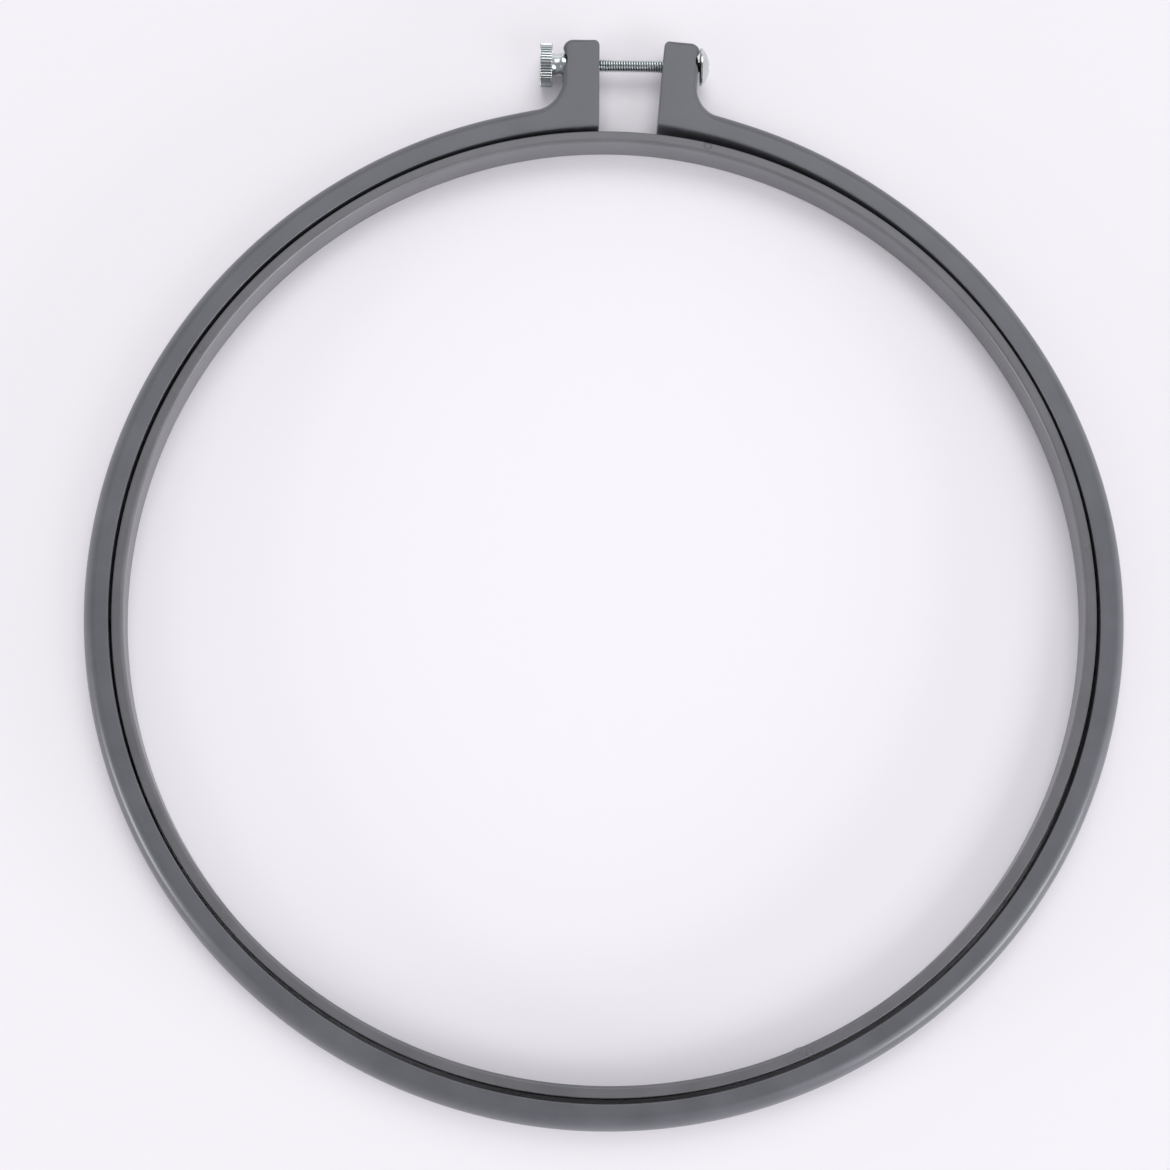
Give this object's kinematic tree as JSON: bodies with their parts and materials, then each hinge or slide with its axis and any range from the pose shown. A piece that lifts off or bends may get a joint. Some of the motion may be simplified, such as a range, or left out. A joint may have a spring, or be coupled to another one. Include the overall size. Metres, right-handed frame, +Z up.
{
  "type": "embroidery hoop",
  "caption": "Round embroidery hoop lying flat: a plain inner ring inside a split outer ring whose two ears are drawn together by a screw and a knurled thumb nut.",
  "frame": {"origin": "on the table, under the middle of the whole hoop's box; the outer ring's own centre lies 9.13 mm behind it, at y = -9.13 mm", "axes": "+Y from the middle towards the clamp, +Z up through the flat rings, +X towards the screw's head"},
  "size_m": [0.25, 0.2684, 0.011],
  "materials": {
    "outer_plastic": "satin moulded plastic, cool mid grey",
    "inner_plastic": "satin moulded plastic, slightly paler mid grey",
    "zinc_plate": "bright zinc-plated steel"
  },
  "bodies": {
    "outer_ring": {"outer_ring": "outer_plastic"},
    "inner_ring": {"inner_ring": "inner_plastic"},
    "clamp_screw": {"clamp_screw": "zinc_plate"},
    "thumb_nut": {"thumb_nut": "zinc_plate"}
  },
  "joints": [
    {"name": "inner_ring_lift", "type": "slide", "parent": "outer_ring", "child": "inner_ring", "axis": [0, 0, 1], "range_m": [0, 0.03]},
    {"name": "thumb_nut_turn", "type": "hinge", "parent": "outer_ring", "child": "thumb_nut", "pos_m": [-0.01934, 0.12814, 0.0056], "axis": [0.9992, 0.0403, 0], "range_deg": [0, 720]},
    {"name": "clamp_close", "type": "hinge", "parent": "outer_ring", "child": "clamp_screw", "pos_m": [0, -0.13103, 0.0056], "axis": [0, 0, 1], "range_deg": [0, 0.28], "deforming": ["outer_ring"]}
  ],
  "couplings": [
    {"joint": "thumb_nut_turn", "follows": "clamp_close", "ratio": 2570.1}
  ]
}
